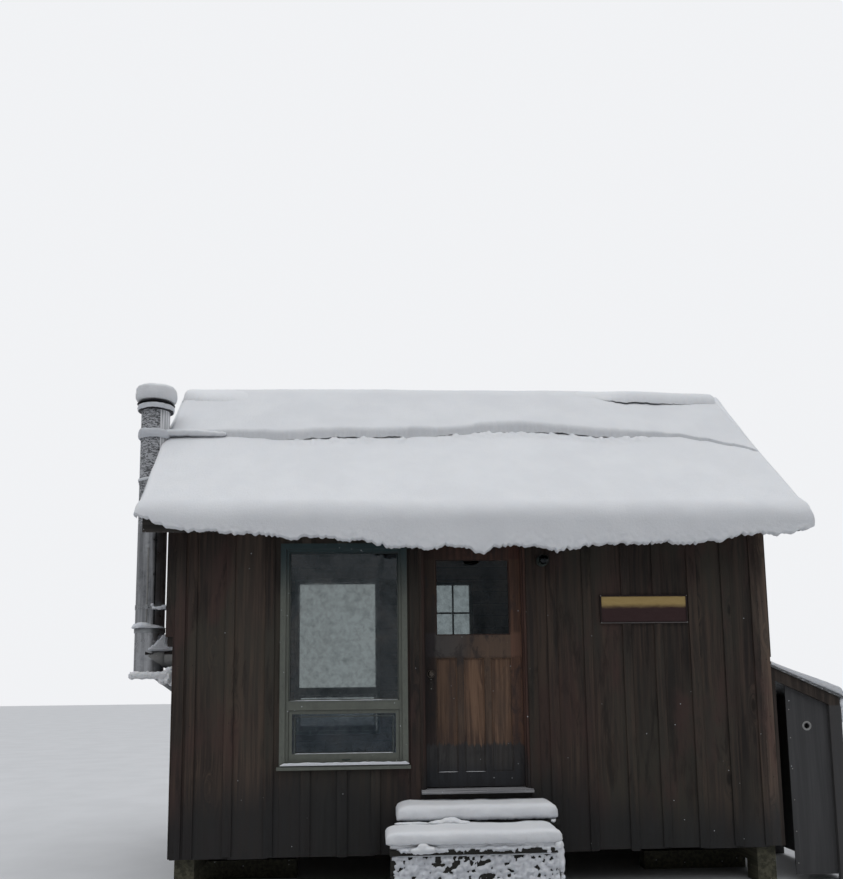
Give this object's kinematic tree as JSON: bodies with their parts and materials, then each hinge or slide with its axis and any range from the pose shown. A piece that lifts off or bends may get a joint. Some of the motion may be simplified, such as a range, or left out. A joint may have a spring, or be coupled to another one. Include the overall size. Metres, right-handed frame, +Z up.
{
  "type": "gable-roofed bunk cabin",
  "caption": "Small hollow timber sleeping cabin on cribbed skids, with a glazed panel door that opens, a metal flue, a side lean-to and snow on its roof.",
  "frame": {"origin": "on the ground, at the centre of the cabin's footprint, under the middle crib", "axes": "+X to the cabin's right seen from the front, +Y towards its back, +Z up"},
  "size_m": [6.0204, 4.048, 4.589],
  "materials": {
    "crib_timber": "weathered sawn timber",
    "floor_timber": "sawn softwood",
    "siding": "dark stained rough boards",
    "roof_timber": "stained boards",
    "frame_paint": "sage green paint, matt",
    "sash_paint": "sage green paint, matt",
    "door_wood": "dark stained timber",
    "glass": "clear",
    "flue_steel": "dull stainless",
    "hinge_steel": "aged",
    "knob_metal": "dark, worn",
    "threshold": "weathered",
    "snow": "matt white",
    "sign_paint": "two-tone paint",
    "lamp_metal": "dark",
    "lamp_glass": "green tint",
    "leanto_timber": "aged softwood",
    "leanto_panel": "grey weathered plywood",
    "leanto_sheet": "ribbed sheet"
  },
  "bodies": {
    "cabin": {"cribs": "crib_timber", "skids": "crib_timber", "floor_joists": "floor_timber", "floor_deck": "floor_timber", "front_wall_left": "siding", "front_wall_right": "siding", "front_wall_over_door": "siding", "door_skirt": "siding", "back_wall": "siding", "left_wall": "siding", "right_wall": "siding", "corner_strip": "siding", "rafters": "roof_timber", "ridge_board": "roof_timber", "eave_blocking": "roof_timber", "roof_sheathing_front": "roof_timber", "roof_sheathing_back": "roof_timber", "fascia_boards": "roof_timber", "rake_boards_front": "roof_timber", "rake_boards_back": "roof_timber", "roof_snow_front": "snow", "roof_snow_back": "snow", "roof_snow_upper": "snow", "window_frame": "frame_paint", "window_sash": "sash_paint", "window_glass": "glass", "back_window_frame": "frame_paint", "back_window_sash": "sash_paint", "back_window_glass": "glass", "small_window_frames": "frame_paint", "door_jambs": "door_wood", "door_head": "door_wood", "door_threshold": "threshold", "hinge_frame_halves": "hinge_steel", "flue_tee": "flue_steel", "flue_pipe": "flue_steel", "flue_bands": "flue_steel", "flue_roof_brace": "flue_steel", "flue_wall_supports": "flue_steel", "flue_cap": "flue_steel", "flue_cap_snow": "snow", "step_crib_upper": "crib_timber", "step_crib_lower": "crib_timber", "step_treads": "crib_timber", "step_snow": "snow", "sign_board": "sign_paint", "wall_light_base": "lamp_metal", "wall_light_jar": "lamp_glass", "leanto_frames": "leanto_timber", "leanto_panels": "leanto_panel", "leanto_roof": "leanto_sheet", "leanto_snow": "snow"},
    "door": {"door_leaf": "door_wood", "door_glass": "glass", "knob_roses": "knob_metal", "hinge_door_halves": "hinge_steel"},
    "knob": {"door_knob": "knob_metal"}
  },
  "joints": [
    {"name": "door_hinge", "type": "hinge", "parent": "cabin", "child": "door", "pos_m": [0.389, -1.39, 1.814], "axis": [0, 0, -1], "range_deg": [0, 100]},
    {"name": "knob_turn", "type": "hinge", "parent": "door", "child": "knob", "pos_m": [-0.376, -1.42, 1.706], "axis": [0, 1, 0], "range_deg": [-55, 55], "stiffness_Nm_per_rad": 0.25}
  ]
}
